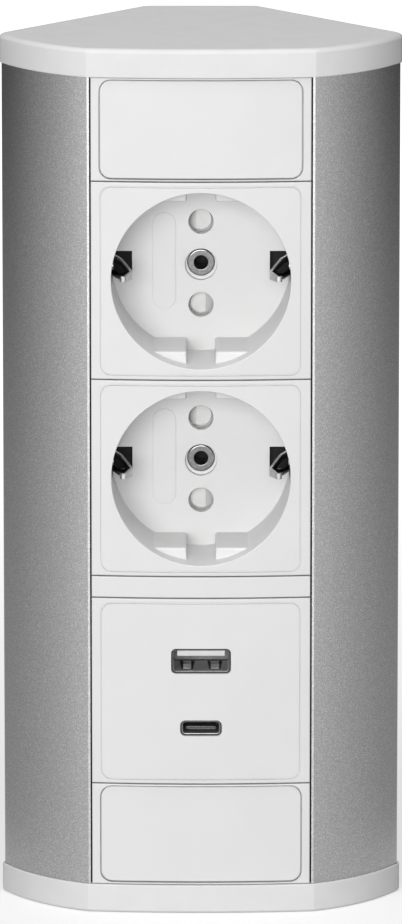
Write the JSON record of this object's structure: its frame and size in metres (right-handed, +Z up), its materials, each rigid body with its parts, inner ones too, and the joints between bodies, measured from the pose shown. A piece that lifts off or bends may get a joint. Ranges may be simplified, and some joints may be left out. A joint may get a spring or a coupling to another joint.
{
  "type": "corner power tower",
  "caption": "Corner power tower for a desk: round-sided aluminium body with earthed plug recesses, turning shutters, a USB charger, blanks and end caps.",
  "frame": {"origin": "centre of the bounding box on the surface that the tower stands on", "axes": "+X to the right seen from the front, +Y from the front to the back, +Z up along the tower"},
  "size_m": [0.0898, 0.053, 0.198],
  "materials": {
    "anodised_aluminium": "satin, fine bead-blasted anodised",
    "white_cap_plastic": "fine eroded, satin",
    "white_cover_plastic": "smooth, semi-gloss",
    "base_plastic": "matt moulded",
    "shutter_plastic": "matt moulded",
    "nickel": "bright nickel plate",
    "brass": "drawn brass",
    "spring_steel": "drawn wire",
    "board": "solder resist",
    "dark_plastic": "matt moulded",
    "ferrite": "sintered ferrite and tape",
    "live_insulation": "soft insulation",
    "neutral_insulation": "soft insulation",
    "earth_insulation": "soft insulation",
    "inlet_rubber": "moulded rubber"
  },
  "bodies": {
    "body": {"body_profile": "anodised_aluminium", "top_cap": "white_cap_plastic", "bottom_cap": "white_cap_plastic", "top_blank_frame": "white_cover_plastic", "top_blank_plate": "white_cover_plastic", "bottom_blank_frame": "white_cover_plastic", "bottom_blank_plate": "white_cover_plastic", "spacer_strip": "white_cover_plastic", "upper_socket_cover": "white_cover_plastic", "upper_socket_base": "base_plastic", "upper_rivet": "nickel", "upper_live_contact": "brass", "upper_neutral_contact": "brass", "upper_earth_strap": "brass", "lower_socket_cover": "white_cover_plastic", "lower_socket_base": "base_plastic", "lower_rivet": "nickel", "lower_live_contact": "brass", "lower_neutral_contact": "brass", "lower_earth_strap": "brass", "usb_cover": "white_cover_plastic", "usb_case": "base_plastic", "usb_circuit_board": "board", "usb_a_shell": "nickel", "usb_a_tongue": "shutter_plastic", "usb_a_contacts": "brass", "usb_c_shell": "nickel", "usb_c_tongue": "dark_plastic", "usb_transformer": "ferrite", "usb_capacitor": "dark_plastic", "usb_terminals": "brass", "live_wire": "live_insulation", "neutral_wire": "neutral_insulation", "earth_wire": "earth_insulation", "earth_bracket": "brass", "cable_inlet": "inlet_rubber"},
    "upper_shutter": {"upper_shutter": "shutter_plastic", "upper_shutter_spring": "spring_steel"},
    "upper_left_earth_clip": {"upper_left_earth_clip": "nickel"},
    "upper_right_earth_clip": {"upper_right_earth_clip": "nickel"},
    "lower_shutter": {"lower_shutter": "shutter_plastic", "lower_shutter_spring": "spring_steel"},
    "lower_left_earth_clip": {"lower_left_earth_clip": "nickel"},
    "lower_right_earth_clip": {"lower_right_earth_clip": "nickel"}
  },
  "joints": [
    {"name": "upper_shutter_turn", "type": "hinge", "parent": "body", "child": "upper_shutter", "pos_m": [0, -0.0028, 0.1455], "axis": [0, 1, 0], "range_deg": [0, 42], "stiffness_Nm_per_rad": 0.004},
    {"name": "upper_left_clip_spring", "type": "hinge", "parent": "body", "child": "upper_left_earth_clip", "pos_m": [-0.02015, 0, 0.1455], "axis": [0, 0, -1], "range_deg": [0, 4.5], "stiffness_Nm_per_rad": 1.2},
    {"name": "upper_right_clip_spring", "type": "hinge", "parent": "body", "child": "upper_right_earth_clip", "pos_m": [0.02015, 0, 0.1455], "axis": [0, 0, 1], "range_deg": [0, 4.5], "stiffness_Nm_per_rad": 1.2},
    {"name": "lower_shutter_turn", "type": "hinge", "parent": "body", "child": "lower_shutter", "pos_m": [0, -0.0028, 0.1005], "axis": [0, 1, 0], "range_deg": [0, 42], "stiffness_Nm_per_rad": 0.004},
    {"name": "lower_left_clip_spring", "type": "hinge", "parent": "body", "child": "lower_left_earth_clip", "pos_m": [-0.02015, 0, 0.1005], "axis": [0, 0, -1], "range_deg": [0, 4.5], "stiffness_Nm_per_rad": 1.2},
    {"name": "lower_right_clip_spring", "type": "hinge", "parent": "body", "child": "lower_right_earth_clip", "pos_m": [0.02015, 0, 0.1005], "axis": [0, 0, 1], "range_deg": [0, 4.5], "stiffness_Nm_per_rad": 1.2}
  ]
}
